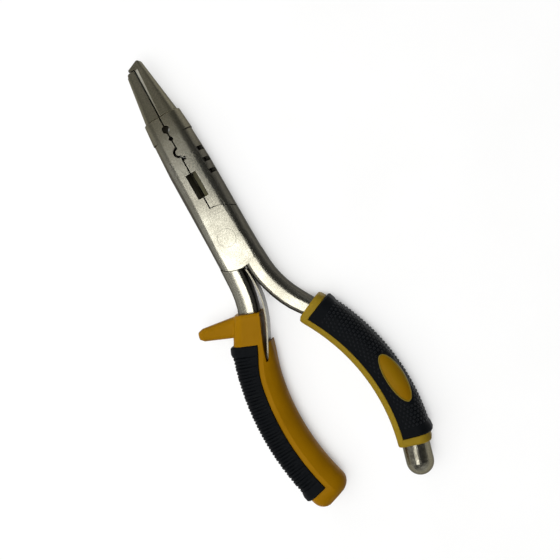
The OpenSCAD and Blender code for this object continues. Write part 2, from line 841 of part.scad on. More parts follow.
front_lever();
rear_lever();
pivot_rivet();
leaf_spring();
spring_rivet();
left_grip_core();
left_grip_overlay();
right_grip_core();
right_grip_overlay();
grip_badge();
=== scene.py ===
"""Dresses long-nose fishing pliers: nickel-plated levers, two-shot grips and a leaf spring."""

import math

import bmesh
import bpy
from bpy.props import FloatProperty, IntProperty, PointerProperty, StringProperty
from mathutils import Matrix, Vector


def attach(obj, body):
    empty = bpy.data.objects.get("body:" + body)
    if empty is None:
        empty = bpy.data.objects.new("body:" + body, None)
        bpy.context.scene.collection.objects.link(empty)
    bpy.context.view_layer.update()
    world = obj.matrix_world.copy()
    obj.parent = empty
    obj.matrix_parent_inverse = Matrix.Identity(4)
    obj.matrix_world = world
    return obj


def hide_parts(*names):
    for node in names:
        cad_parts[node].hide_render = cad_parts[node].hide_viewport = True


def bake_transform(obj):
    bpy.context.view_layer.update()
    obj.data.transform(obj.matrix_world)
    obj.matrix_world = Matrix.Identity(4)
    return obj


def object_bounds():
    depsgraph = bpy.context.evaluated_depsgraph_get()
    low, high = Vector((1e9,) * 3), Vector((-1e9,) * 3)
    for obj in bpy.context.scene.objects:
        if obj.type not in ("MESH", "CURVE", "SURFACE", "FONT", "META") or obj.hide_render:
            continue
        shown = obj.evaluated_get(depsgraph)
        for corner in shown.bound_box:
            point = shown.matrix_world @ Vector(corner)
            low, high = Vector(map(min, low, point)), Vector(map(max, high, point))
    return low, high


bl_info = {
    "name": "Fishing pliers",
    "version": (1, 0, 0),
    "blender": (4, 5, 0),
    "location": "3D View > Sidebar > Pliers",
    "description": "Surfaces, studio and camera for long-nose fishing pliers",
    "category": "Object",
}

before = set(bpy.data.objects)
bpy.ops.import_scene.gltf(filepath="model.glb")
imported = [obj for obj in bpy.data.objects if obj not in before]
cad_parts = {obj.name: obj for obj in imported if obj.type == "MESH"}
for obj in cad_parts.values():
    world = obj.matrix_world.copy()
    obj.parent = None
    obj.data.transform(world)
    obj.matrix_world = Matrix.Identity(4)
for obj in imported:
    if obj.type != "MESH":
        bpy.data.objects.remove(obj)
CAD_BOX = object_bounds()

MM = 0.001
LEFT = -1
RIGHT = 1

# Height of the middle plane, which halves the joint's thickness
MID_Z = 5.25 * MM
# Vertices closer than this are joined
WELD = 0.002 * MM
# Depth to which a vertex belongs to an overlay's outer skin
SKIN = 0.3 * MM
# Crease angle of a mesh that is smooth all over
NO_CREASE = math.pi


# ---------------------------------------------------------------- sizes and colours


class PliersSteel(bpy.types.PropertyGroup):
    """Sizes and colours of the plated steel."""

    crease: FloatProperty(
        name="Crease",
        description="Edges that turn more than this stay crisp",
        default=math.radians(21),
        subtype="ANGLE",
    )
    edge: FloatProperty(
        name="Edge softness",
        description="Radius that plating leaves on a ground edge",
        default=0.06 * MM,
        unit="LENGTH",
    )
    # Real grain is finer than a pixel, so it is drawn as coarse as it needs to be to show
    grain: FloatProperty(
        name="Grain",
        description="Width of the blasted grain under the plating",
        default=0.45 * MM,
        unit="LENGTH",
    )
    pale: StringProperty(name="Pale nickel", description="Clean plating", default="#BDBAAA")
    dull: StringProperty(name="Dull nickel", description="Handled plating", default="#ACA898")
    # Sides are painted darker than the flats: partly forged plating, partly painted shade in their
    # reflections
    forged_flank_shade: StringProperty(
        name="Flank nickel", description="Plating on forged sides", default="#5A574E"
    )
    # The nose is painted darker: partly duller plating, partly painted shade in its reflections
    nose: StringProperty(
        name="Nose nickel", description="Duller plating on the nose", default="#7B7664"
    )
    pitted: StringProperty(
        name="Pitted nickel", description="Plating on the bare end", default="#A5A192"
    )
    pits: StringProperty(name="Pits", description="Stained pits of the bare end", default="#5E5A4E")
    # Bare ground steel, partly a painted highlight along the bevel
    ground: StringProperty(
        name="Ground steel", description="Ground bevel of the right jaw", default="#CFCCBE"
    )
    # Also the colour of painted shade: the notch walls, the recess's left slope and the step behind
    # the collar
    cut: StringProperty(
        name="Cut steel", description="Unplated steel in notches and recess", default="#2B2923"
    )
    milled: StringProperty(
        name="Milled steel", description="Right slope of the cutter's recess", default="#8E8A66"
    )
    strip: StringProperty(name="Spring strip", description="Rolled spring steel", default="#7A776D")
    # The strip's broad faces are painted darker than its top edge, a painted shade
    strip_face_shade: StringProperty(
        name="Strip side", description="Flat of the strip", default="#4A463B"
    )


class PliersGrips(bpy.types.PropertyGroup):
    """Sizes and colours of the grips."""

    crease: FloatProperty(
        name="Crease",
        description="Edges that turn more than this stay crisp",
        default=math.radians(20),
        subtype="ANGLE",
    )
    rib_pitch: FloatProperty(
        name="Rib pitch",
        description="Distance from one rib of the left overlay to the next",
        default=1.35 * MM,
        unit="LENGTH",
    )
    rib_depth: FloatProperty(
        name="Rib depth",
        description="Depth of the grooves between the ribs",
        default=0.5 * MM,
        unit="LENGTH",
    )
    pebble_pitch: FloatProperty(
        name="Pebble pitch",
        description="Distance from one pebble of the right overlay to the next",
        default=1.65 * MM,
        unit="LENGTH",
    )
    pebble_height: FloatProperty(
        name="Pebble height",
        description="Height of the pebbles above the skin between them",
        default=0.3 * MM,
        unit="LENGTH",
    )
    pebble_sides: IntProperty(
        name="Pebble sides", description="Sides of one pebble", default=8, min=5, max=12
    )
    badge_rim: FloatProperty(
        name="Badge rim",
        description="Width of the raised rim round the oval badge",
        default=0.5 * MM,
        unit="LENGTH",
    )
    badge_dip: FloatProperty(
        name="Badge dip",
        description="Depth of the badge's face below its rim",
        default=0.3 * MM,
        unit="LENGTH",
    )
    yellow: StringProperty(name="Yellow", description="Core plastic", default="#926704")
    amber: StringProperty(
        name="Amber", description="Core plastic where it is thicker", default="#835B02"
    )
    olive: StringProperty(name="Olive", description="Right core plastic", default="#8A721D")
    moss: StringProperty(
        name="Moss", description="Right core plastic where it is thicker", default="#816A1B"
    )
    badge_yellow: StringProperty(
        name="Badge yellow", description="Face of the badge", default="#7F610A"
    )
    rim_yellow: StringProperty(name="Rim yellow", description="Rim of the badge", default="#75682C")
    black: StringProperty(name="Black", description="Overlay rubber", default="#050708")
    bloom: StringProperty(
        name="Bloom", description="Overlay rubber where it is handled", default="#0B0D10"
    )
    # A lighter black on the pebbles, a painted highlight
    pebble_sheen: StringProperty(name="Worn black", description="Crowns of the pebbles", default="#0E1114")


class PliersStage(bpy.types.PropertyGroup):
    """Floor, lamps and camera."""

    floor: StringProperty(name="Floor", description="Paper under the part", default="#FFFFFF")
    distance: FloatProperty(
        name="Camera distance",
        description="Distance from the camera to the middle of the part",
        default=450 * MM,
        unit="LENGTH",
    )
    overhead: FloatProperty(
        name="Overhead light",
        description="Power of the softbox over the part",
        default=1.2,
        unit="POWER",
    )
    shoulder: FloatProperty(
        name="Shoulder light",
        description="Power of the dim softbox beside the overhead one",
        default=0.22,
        unit="POWER",
    )
    ceiling: FloatProperty(
        name="Ceiling light",
        description="Power of the broad fill light over the table",
        default=20.5,
        unit="POWER",
    )
    far: FloatProperty(
        name="Far light",
        description="Power of the lamp beyond the nose",
        default=3.0,
        unit="POWER",
    )
    left: FloatProperty(
        name="Left light",
        description="Power of the dim lamp on the left",
        default=0.6,
        unit="POWER",
    )
    white: FloatProperty(
        name="Background white",
        description="Share of plain white in the floor where nothing shades it",
        default=0.75,
        subtype="FACTOR",
    )
    room: FloatProperty(
        name="Room light",
        description="Brightness of the room behind the lamps",
        default=0.045,
    )


# ---------------------------------------------------------------- handles' middle lines


class Bow:
    """The bowed part of a handle's middle line, where its overlay lies, as the solids have it."""

    # Distance from the pivot's axis, lean of the neck, and radius of the bend behind it
    OFFSET = 4.7 * MM
    LEAN = math.radians(2.5)
    BEND = 45 * MM

    def __init__(self, side, neck, flare, radius):
        self.side = side
        self.radius = radius
        self.flare = math.radians(flare)
        self.start = neck + self.BEND * (self.flare - self.LEAN)
        bend_x = self.OFFSET + neck * math.sin(self.LEAN)
        bend_x += self.BEND * (math.cos(self.LEAN) - math.cos(self.flare))
        bend_y = -neck * math.cos(self.LEAN)
        bend_y -= self.BEND * (math.sin(self.flare) - math.sin(self.LEAN))
        self.centre_x = bend_x - radius * math.cos(self.flare)
        self.centre_y = bend_y - radius * math.sin(self.flare)

    def lean(self, s):
        """Angle of the line from -Y at a length along it."""
        return self.flare - (s - self.start) / self.radius

    def point(self, s, n, z):
        """Point at a length along the line, n outwards and z above the middle plane."""
        a, reach = self.lean(s), self.radius + n
        x = self.side * (self.centre_x + reach * math.cos(a))
        return Vector((x, self.centre_y + reach * math.sin(a), MID_Z + z))

    def outward(self, s):
        """Direction away from the other handle."""
        a = self.lean(s)
        return Vector((self.side * math.cos(a), math.sin(a), 0))

    def along(self, s):
        """Direction towards the handle's end."""
        a = self.lean(s)
        return Vector((self.side * math.sin(a), -math.cos(a), 0))

    def locate(self, co):
        """Length along the line, n outwards and z above the middle plane, of a point."""
        x, y = self.side * co.x - self.centre_x, co.y - self.centre_y
        s = self.start + self.radius * (self.flare - math.atan2(y, x))
        return s, math.hypot(x, y) - self.radius, co.z - MID_Z


LEFT_BOW = Bow(LEFT, neck=18 * MM, flare=25.3, radius=104 * MM)
RIGHT_BOW = Bow(RIGHT, neck=14.3 * MM, flare=35, radius=85.6 * MM)


class Section:
    """Outer outline of an overlay across its handle: two flats, two round edges and a side."""

    # Radius of the round edges, and half the height of the side between them
    ROUND = 5.2 * MM
    SIDE = 2.9 * MM

    def __init__(self, edge, corner):
        self.corner = corner
        self.flat = corner - edge
        self.quarter = self.ROUND * math.pi / 2
        self.length = 2 * (self.flat + self.quarter + self.SIDE)

    def at(self, u):
        """Point and outward direction, each as (n, z), at a distance from the front edge."""
        if u > self.length / 2:
            (n, z), (out_n, out_z) = self.at(self.length - u)
            return (n, -z), (out_n, -out_z)
        if u < self.flat:
            return (self.corner - self.flat + u, self.SIDE + self.ROUND), (0, 1)
        if u < self.flat + self.quarter:
            a = math.pi / 2 - (u - self.flat) / self.ROUND
            out = (math.cos(a), math.sin(a))
            return (self.corner + self.ROUND * out[0], self.SIDE + self.ROUND * out[1]), out
        return (self.corner + self.ROUND, self.SIDE - (u - self.flat - self.quarter)), (1, 0)

    def depth(self, n, z):
        """Depth of a point under the outline, and the outward direction there as (n, z)."""
        away = Vector((max(n - self.corner, 0), math.copysign(max(abs(z) - self.SIDE, 0), z)))
        if away.length == 0:
            return self.ROUND, Vector((1, 0))
        return self.ROUND - away.length, away.normalized()


LEFT_SECTION = Section(edge=-0.85 * MM, corner=3.5 * MM)
RIGHT_SECTION = Section(edge=-3.75 * MM, corner=2.4 * MM)


class Badge:
    """The oval badge's place on the right grip."""

    LENGTH, WIDTH = 22.0 * MM, 7.3 * MM

    def __init__(self, s, n):
        self.centre = RIGHT_BOW.point(s, n, 0)
        self.along = RIGHT_BOW.along(s)
        self.outward = RIGHT_BOW.outward(s)

    def covers(self, co, margin):
        """True where a point lies over the badge or within a margin of it."""
        away = co - self.centre
        x = away.dot(self.outward) / (self.WIDTH / 2 + margin)
        y = away.dot(self.along) / (self.LENGTH / 2 + margin)
        return x * x + y * y < 1

    def surface(self, co):
        """Height of the overlay's outer surface over a point."""
        _, n, _ = RIGHT_BOW.locate(co)
        reach = max(n - RIGHT_SECTION.corner, 0)
        return MID_Z + RIGHT_SECTION.SIDE + math.sqrt(RIGHT_SECTION.ROUND**2 - reach**2)


BADGE = Badge(s=86.8 * MM, n=3.6 * MM)


def ease(value, start, end):
    """Runs smoothly from 0 at start to 1 at end."""
    t = min(1.0, max(0.0, (value - start) / (end - start)))
    return t * t * (3 - 2 * t)


# ---------------------------------------------------------------- meshes


def welded(node):
    """A solid's mesh as a bmesh with its loose triangles joined."""
    bm = bmesh.new()
    bm.from_mesh(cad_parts[node].data)
    bmesh.ops.remove_doubles(bm, verts=bm.verts, dist=WELD)
    bmesh.ops.dissolve_degenerate(bm, edges=bm.edges, dist=WELD)
    bm.normal_update()
    return bm


def finished(bm, name, materials, crease, even=True):
    """Makes the bmesh an object with soft bends and crisp creases."""
    mesh = bpy.data.meshes.new(name)
    bm.to_mesh(mesh)
    bm.free()
    old_normals = mesh.attributes.get("custom_normal")
    if old_normals:
        mesh.attributes.remove(old_normals)
    mesh.polygons.foreach_set("use_smooth", [True] * len(mesh.polygons))
    mesh.set_sharp_from_angle(angle=crease)
    for material in materials:
        mesh.materials.append(material)
    piece = bpy.data.objects.new(name, mesh)
    bpy.context.scene.collection.objects.link(piece)
    if even:
        normals = piece.modifiers.new("even_normals", "WEIGHTED_NORMAL")
        normals.keep_sharp = True
    return piece


def seated(piece, body, slot, *nodes):
    """Lets a piece ride its body and stand for its solids; the slot is not used."""
    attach(piece, body)
    if nodes:
        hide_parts(*nodes)


def cut(bm, bow, s):
    """Cuts the mesh square to a handle and returns the vertices on the cut."""
    whole = bm.verts[:] + bm.edges[:] + bm.faces[:]
    made = bmesh.ops.bisect_plane(
        bm, geom=whole, dist=WELD, plane_co=bow.point(s, 0, 0), plane_no=bow.along(s)
    )
    return [g for g in made["geom_cut"] if isinstance(g, bmesh.types.BMVert)]


def sink(vert, bow, section, amount):
    """Presses a vertex of an overlay's outer skin inwards."""
    s, n, z = bow.locate(vert.co)
    out_n, out_z = section.depth(n, z)[1]
    vert.co -= amount * (out_n * bow.outward(s) + Vector((0, 0, out_z)))


# ---------------------------------------------------------------- materials

NOISE = "ShaderNodeTexNoise"
RANGE = "ShaderNodeMapRange"
MATH = "ShaderNodeMath"
MIX = "ShaderNodeMix"
SPLIT = "ShaderNodeSeparateXYZ"
COORDINATES = "ShaderNodeTexCoord"
MAPPING = "ShaderNodeMapping"
BEVEL = "ShaderNodeBevel"
BUMP = "ShaderNodeBump"
SHADER = "ShaderNodeBsdfPrincipled"
OUTPUT = "ShaderNodeOutputMaterial"

# Sockets of a Mix node that mixes colours
SHARE, COLOUR_A, COLOUR_B = 0, 6, 7
# Most values of a noise lie between these
NOISE_LOW, NOISE_HIGH = 0.3, 0.7
# Upright part of the normal where a side starts to turn, and where it has become a flat
FLAT_FROM, FLAT_TO = 0.74, 0.97
BEVEL_SAMPLES = 4


def linear(code):
    """An sRGB hex colour as the linear values that a socket takes."""
    parts = [int(code[i : i + 2], 16) / 255 for i in (1, 3, 5)]
    return [c / 12.92 if c <= 0.04045 else ((c + 0.055) / 1.055) ** 2.4 for c in parts] + [1.0]


def per_metre(size):
    """Texture scale at which one feature is as wide as a real size in metres."""
    return 1.0 / size


def add(tree, kind, sockets=(), **settings):
    """Adds a node with its settings; a socket takes a value, another socket or a whole node."""
    node = tree.nodes.new(kind)
    for key, value in settings.items():
        setattr(node, key, value)
    for key, value in dict(sockets).items():
        if isinstance(value, bpy.types.Node):
            value = next(output for output in value.outputs if output.enabled)
        if isinstance(value, bpy.types.NodeSocket):
            tree.links.new(value, node.inputs[key])
        else:
            node.inputs[key].default_value = value
    return node


def blank(name):
    """An empty material: it, its node tree and its object coordinates."""
    material = bpy.data.materials.new(name)
    material.use_nodes = True
    tree = material.node_tree
    tree.nodes.clear()
    return material, tree, add(tree, COORDINATES).outputs["Object"]


def flatness(tree):
    """A share that is 1 on the flats and 0 where the surface turns to the side."""
    normal = add(tree, "ShaderNodeNewGeometry").outputs["Normal"]
    turn = add(tree, SPLIT, {0: normal})
    upright = add(tree, MATH, {0: turn.outputs["Z"]}, operation="ABSOLUTE")
    return add(tree, RANGE, {"Value": upright, "From Min": FLAT_FROM, "From Max": FLAT_TO})


# Plating: the Y where the nose starts to dull and to darken with painted shade, where it is dull
# and dark, and its roughness there
NOSE_FROM, NOSE_TO = 29 * MM, 58 * MM
NOSE_ROUGH = 0.4
# Y of the step behind the collar, and half the width of the painted shade line in it
COLLAR_STEP, STEP_SHADE_REACH = 46.45 * MM, 0.24 * MM
# Grain values between which its specks run from dark to light
GRAIN_LOW, GRAIN_HIGH = 0.36, 0.64
SPECK_DARK, SPECK_LIGHT = 0.82, 1.12
# What handling adds to the roughness
PLATE_WEAR = 0.08
# Tint of the reflections at a grazing angle, which worn plating dims
EDGE_TINT = (0.42, 0.42, 0.42, 1.0)


def nickel_plate(name, pale, dull, forged_flank_shade, cloud, shine, side_rough, dent):
    """Nickel over blasted, forged steel."""
    # A satin mirror: broad soft reflections, a fine sparkle of grain, clouds from handling and a
    # thin light line where the plating rounds a ground edge. The forged sides and the nose are
    # rougher and duller, and both are also painted darker as shade in their reflections. A painted
    # shade line darkens the step behind the collar where it turns to the sides.
    steel = bpy.context.scene.pliers_steel
    material, tree, place = blank(name)
    clouds = add(tree, NOISE, {"Vector": place, "Scale": per_metre(cloud), "Detail": 2.0})
    patch = add(tree, RANGE, {"Value": clouds, "From Min": NOISE_LOW, "From Max": NOISE_HIGH})
    grain = add(tree, NOISE, {"Vector": place, "Scale": per_metre(steel.grain), "Detail": 1.0})
    speck = add(
        tree,
        RANGE,
        {
            "Value": grain,
            "From Min": GRAIN_LOW,
            "From Max": GRAIN_HIGH,
            "To Min": SPECK_DARK,
            "To Max": SPECK_LIGHT,
        },
    )
    flat = flatness(tree)
    along = add(tree, SPLIT, {0: place}).outputs["Y"]
    # The nose grows rougher, and it is also painted darker as shade
    nose = add(
        tree,
        RANGE,
        {"Value": along, "From Min": NOSE_FROM, "From Max": NOSE_TO},
        interpolation_type="SMOOTHSTEP",
    )
    # A painted shade line on the sides at the step behind the collar
    step = add(tree, MATH, {0: along, 1: COLLAR_STEP, 2: STEP_SHADE_REACH}, operation="COMPARE")
    step_shade = add(tree, RANGE, {"Value": flat, "To Min": step, "To Max": 0.0})

    tone = add(
        tree, MIX, {SHARE: patch, COLOUR_A: linear(pale), COLOUR_B: linear(dull)}, data_type="RGBA"
    )
    # Sides take the darker colour: partly forged plating, partly painted shade in their reflections
    tone = add(tree, MIX, {SHARE: flat, COLOUR_A: linear(forged_flank_shade), COLOUR_B: tone}, data_type="RGBA")
    for share, colour in ((nose, steel.nose), (step_shade, steel.cut)):
        tone = add(
            tree, MIX, {SHARE: share, COLOUR_A: tone, COLOUR_B: linear(colour)}, data_type="RGBA"
        )
    tone = add(
        tree,
        MIX,
        {SHARE: 1.0, COLOUR_A: tone, COLOUR_B: speck},
        data_type="RGBA",
        blend_type="MULTIPLY",
    )

    gloss = add(tree, RANGE, {"Value": patch, "To Min": shine, "To Max": shine + PLATE_WEAR})
    gloss = add(tree, RANGE, {"Value": flat, "To Min": side_rough, "To Max": gloss})
    gloss = add(tree, RANGE, {"Value": nose, "To Min": gloss, "To Max": NOSE_ROUGH})
    edges = add(tree, BEVEL, {"Radius": steel.edge}, samples=BEVEL_SAMPLES)
    bump = add(tree, BUMP, {"Height": grain, "Strength": 0.45, "Distance": dent, "Normal": edges})
    shader = add(
        tree,
        SHADER,
        {
            "Base Color": tone,
            "Metallic": 1.0,
            "Roughness": gloss,
            "Specular Tint": EDGE_TINT,
            "Normal": bump,
        },
    )
    add(tree, OUTPUT, {"Surface": shader})
    return material


def lever_plate():
    """Plating of the levers and the pivot rivet."""
    steel = bpy.context.scene.pliers_steel
    return nickel_plate(
        "nickel_plate_on_blasted_steel",
        steel.pale,
        steel.dull,
        steel.forged_flank_shade,
        cloud=11 * MM,
        shine=0.2,
        side_rough=0.38,
        dent=0.012 * MM,
    )


def end_plate():
    """Pitted plating of the bare handle end."""
    steel = bpy.context.scene.pliers_steel
    return nickel_plate(
        "nickel_plate_on_pitted_steel",
        steel.pitted,
        steel.pits,
        steel.nose,
        cloud=2.4 * MM,
        shine=0.2,
        side_rough=0.2,
        dent=0.12 * MM,
    )


# A cutter's marks, coarser than real ones so that they show: their width and depth, and the
# noise values they run between
MARK_WIDTH, MARK_DEPTH = 0.6 * MM, 0.03 * MM
MARK_LOW, MARK_HIGH = 0.35, 0.65
# How marks are drawn out: not at all, or along the jaws
ROUND_MARKS = (1.0, 1.0, 1.0)
LONG_MARKS = (1.0, 0.05, 1.0)


def cut_steel(name, dark, pale, stretch, metallic=1.0):
    """Bare steel as a cutter left it."""
    # Dull, because oil and dirt stay in the cutter's marks, which run along the cut. On the notch
    # walls and on the recess's left slope its dark colours are painted shade.
    material, tree, place = blank(name)
    run = add(tree, MAPPING, {"Vector": place, "Scale": stretch})
    marks = add(tree, NOISE, {"Vector": run, "Scale": per_metre(MARK_WIDTH), "Detail": 2.0})
    line = add(tree, RANGE, {"Value": marks, "From Min": MARK_LOW, "From Max": MARK_HIGH})
    tone = add(
        tree, MIX, {SHARE: line, COLOUR_A: linear(dark), COLOUR_B: linear(pale)}, data_type="RGBA"
    )
    bump = add(tree, BUMP, {"Height": marks, "Strength": 0.4, "Distance": MARK_DEPTH})
    shader = add(
        tree, SHADER, {"Base Color": tone, "Metallic": metallic, "Roughness": 0.5, "Normal": bump}
    )
    add(tree, OUTPUT, {"Surface": shader})
    return material


def notch_shade_steel():
    """Walls of the side notches, painted dark as shade."""
    steel = bpy.context.scene.pliers_steel
    return cut_steel("unplated_sawn_steel", steel.cut, steel.forged_flank_shade, ROUND_MARKS)


def milled_steel():
    """Right slope of the cutter's recess, milled along the jaws."""
    # A film of oil dulls the metal's mirror and gives it an olive cast.
    steel = bpy.context.scene.pliers_steel
    return cut_steel("unplated_milled_steel", steel.pits, steel.milled, LONG_MARKS, metallic=0.7)


def shaded_slope_steel():
    """Left slope of the cutter's recess, painted dark as shade."""
    steel = bpy.context.scene.pliers_steel
    return cut_steel("oiled_milled_steel", steel.cut, steel.forged_flank_shade, LONG_MARKS)


# Grinding scratches, coarser than real ones so that they show: their width and depth, and how
# they are drawn out across the jaw
SCRATCH_WIDTH, SCRATCH_DEPTH = 0.3 * MM, 0.02 * MM
SCRATCH_STRETCH = (0.08, 1.0, 1.0)
# Y from which the bevel's painted highlight is at its brightest
GLINT_FROM = NOSE_TO + 18 * MM


def ground_steel():
    """Bare steel, ground after plating."""
    # Fine scratches across the bevel scatter the light, so it stays bright from most sides, and its
    # bright colour is partly a painted highlight, brightest at the tip and fading into the plating.
    steel = bpy.context.scene.pliers_steel
    material, tree, place = blank("bare_ground_steel")
    stretched = add(tree, MAPPING, {"Vector": place, "Scale": SCRATCH_STRETCH})
    lines = add(
        tree, NOISE, {"Vector": stretched, "Scale": per_metre(SCRATCH_WIDTH), "Detail": 2.0}
    )
    tone = add(
        tree,
        MIX,
        {SHARE: lines, COLOUR_A: linear(steel.ground), COLOUR_B: linear(steel.dull)},
        data_type="RGBA",
    )
    along = add(tree, SPLIT, {0: place}).outputs["Y"]
    tip_glint = add(tree, RANGE, {"Value": along, "From Min": NOSE_TO, "From Max": GLINT_FROM})
    tone = add(
        tree, MIX, {SHARE: tip_glint, COLOUR_A: linear(steel.nose), COLOUR_B: tone}, data_type="RGBA"
    )
    bump = add(tree, BUMP, {"Height": lines, "Strength": 0.4, "Distance": SCRATCH_DEPTH})
    shader = add(
        tree, SHADER, {"Base Color": tone, "Metallic": 0.6, "Roughness": 0.35, "Normal": bump}
    )
    add(tree, OUTPUT, {"Surface": shader})
    return material


# Rolling lines, coarser than real ones so that they show: their width and depth, how they are
# drawn out, and the strip's turn from Y
ROLL_WIDTH, ROLL_DEPTH = 0.5 * MM, 0.02 * MM
ROLL_STRETCH = (1.0, 0.04, 1.0)
STRIP_TURN = math.radians(12)
# Roughness between the lines and in them
STRIP_SMOOTH, STRIP_ROUGH = 0.22, 0.36


def rolled_spring_steel():
    """Bright rolled strip."""
    # Rolling leaves fine lines along the strip, so its reflections are drawn out across it.
    steel = bpy.context.scene.pliers_steel
    material, tree, place = blank("rolled_spring_steel")
    turned = add(
        tree, MAPPING, {"Vector": place, "Rotation": (0, 0, STRIP_TURN), "Scale": ROLL_STRETCH}
    )
    lines = add(tree, NOISE, {"Vector": turned, "Scale": per_metre(ROLL_WIDTH), "Detail": 3.0})
    tone = add(
        tree,
        MIX,
        {SHARE: lines, COLOUR_A: linear(steel.strip), COLOUR_B: linear(steel.nose)},
        data_type="RGBA",
    )
    # The broad faces take a darker colour, a painted shade
    tone = add(
        tree,
        MIX,
        {SHARE: flatness(tree), COLOUR_A: linear(steel.strip_face_shade), COLOUR_B: tone},
        data_type="RGBA",
    )
    gloss = add(
        tree,
        RANGE,
        {
            "Value": lines,
            "From Min": NOISE_LOW,
            "From Max": NOISE_HIGH,
            "To Min": STRIP_SMOOTH,
            "To Max": STRIP_ROUGH,
        },
    )
    bump = add(tree, BUMP, {"Height": lines, "Strength": 0.3, "Distance": ROLL_DEPTH})
    shader = add(
        tree, SHADER, {"Base Color": tone, "Metallic": 1.0, "Roughness": gloss, "Normal": bump}
    )
    add(tree, OUTPUT, {"Surface": shader})
    return material


# Plastic: width of its slow drift, width and depth of its orange peel, and radius of its edges
DRIFT_WIDTH = 9 * MM
PEEL_WIDTH, PEEL_DEPTH = 0.7 * MM, 0.02 * MM
MOULD_EDGE = 0.3 * MM
# What handling adds to the roughness
PLASTIC_WEAR = 0.12


def moulded_plastic(name, main, second, roughness):
    """Injection-moulded ABS with a low sheen."""
    # Even colour with a slow drift where the wall is thicker, a faint orange peel from the mould,
    # soft edges, and a satin sheen that handling dulls in patches.
    material, tree, place = blank(name)
    drift = add(tree, NOISE, {"Vector": place, "Scale": per_metre(DRIFT_WIDTH), "Detail": 2.0})
    peel = add(tree, NOISE, {"Vector": place, "Scale": per_metre(PEEL_WIDTH), "Detail": 2.0})
    tone = add(
        tree,
        MIX,
        {SHARE: drift, COLOUR_A: linear(main), COLOUR_B: linear(second)},
        data_type="RGBA",
    )
    gloss = add(
        tree,
        RANGE,
        {
            "Value": drift,
            "From Min": NOISE_LOW,
            "From Max": NOISE_HIGH,
            "To Min": roughness,
            "To Max": roughness + PLASTIC_WEAR,
        },
    )
    edges = add(tree, BEVEL, {"Radius": MOULD_EDGE}, samples=BEVEL_SAMPLES)
    bump = add(
        tree, BUMP, {"Height": peel, "Strength": 0.25, "Distance": PEEL_DEPTH, "Normal": edges}
    )
    shader = add(
        tree,
        SHADER,
        {
            "Base Color": tone,
            "Roughness": gloss,
            "IOR": 1.53,
            "Specular IOR Level": 0.03,
            "Normal": bump,
        },
    )
    add(tree, OUTPUT, {"Surface": shader})
    return material


# Rubber: width of the bloom's patches, and width and depth of the mould's grain, which is
# coarser than the real one so that it shows
BLOOM_WIDTH = 6 * MM
GRAIN_WIDTH, GRAIN_DEPTH = 0.4 * MM, 0.03 * MM
# What the bloom adds to the roughness
RUBBER_WEAR = 0.18


def moulded_rubber(name, main, second, roughness, sheen):
    """Soft moulded thermoplastic rubber."""
    # Nearly black with a faint blue cast, a broad dull sheen, and a greyer bloom where it is held.
    made = bpy.data.materials.get(name)
    if made:
        return made
    material, tree, place = blank(name)
    bloom = add(tree, NOISE, {"Vector": place, "Scale": per_metre(BLOOM_WIDTH), "Detail": 4.0})
    skin = add(tree, NOISE, {"Vector": place, "Scale": per_metre(GRAIN_WIDTH), "Detail": 2.0})
    tone = add(
        tree,
        MIX,
        {SHARE: bloom, COLOUR_A: linear(main), COLOUR_B: linear(second)},
        data_type="RGBA",
    )
    gloss = add(
        tree,
        RANGE,
        {
            "Value": bloom,
            "From Min": NOISE_LOW,
            "From Max": NOISE_HIGH,
            "To Min": roughness,
            "To Max": roughness + RUBBER_WEAR,
        },
    )
    bump = add(tree, BUMP, {"Height": skin, "Strength": 0.3, "Distance": GRAIN_DEPTH})
    shader = add(
        tree,
        SHADER,
        {
            "Base Color": tone,
            "Roughness": gloss,
            "IOR": 1.5,
            "Specular IOR Level": sheen,
            "Normal": bump,
        },
    )
    add(tree, OUTPUT, {"Surface": shader})
    return material


def overlay_rubber():
    """Black rubber of both overlays, made once."""
    grips = bpy.context.scene.pliers_grips
    return moulded_rubber(
        "moulded_thermoplastic_rubber", grips.black, grips.bloom, roughness=0.5, sheen=0.07
    )


def plainly_seen(tree):
    """1 for the rays that show the background: straight, mirrored and through glass."""
    rays = add(tree, "ShaderNodeLightPath").outputs
    seen = rays["Is Camera Ray"]
    for kind in ("Is Glossy Ray", "Is Transmission Ray"):
        seen = add(tree, MATH, {0: seen, 1: rays[kind]}, operation="MAXIMUM")
    return seen


# Paper: width and colour of its mottle, how far from the part it is shaded, and the openness
# to the sky at which it is all shade and all clear
MOTTLE_WIDTH = 40 * MM
MOTTLE = "#FBFBFA"
SHADE_REACH = 8 * MM
SHADE_LOW, SHADE_HIGH = 0.3, 0.65
SHADE_SAMPLES = 8


def matt_paper():
    """Matt white paper under the part."""
    # A flat, slightly mottled white that keeps a soft shadow close to the part.
    stage = bpy.context.scene.pliers_stage
    material, tree, place = blank("matt_studio_paper")
    mottle = add(tree, NOISE, {"Vector": place, "Scale": per_metre(MOTTLE_WIDTH), "Detail": 3.0})
    tone = add(
        tree,
        MIX,
        {SHARE: mottle, COLOUR_A: linear(stage.floor), COLOUR_B: linear(MOTTLE)},
        data_type="RGBA",
    )
    matt = add(tree, SHADER, {"Base Color": tone, "Roughness": 0.9})
    white = add(tree, "ShaderNodeEmission", {"Color": tone, "Strength": 1.0})
    sky = add(tree, "ShaderNodeAmbientOcclusion", {"Distance": SHADE_REACH}, samples=SHADE_SAMPLES)
    clear = add(
        tree,
        RANGE,
        {
            "Value": sky.outputs["AO"],
            "From Min": SHADE_LOW,
            "From Max": SHADE_HIGH,
            "To Max": stage.white,
        },
    )
    share = add(tree, MATH, {0: plainly_seen(tree), 1: clear}, operation="MULTIPLY")
    paper = add(tree, "ShaderNodeMixShader", {0: share, 1: matt, 2: white})
    add(tree, OUTPUT, {"Surface": paper})
    return material


# ---------------------------------------------------------------- pieces


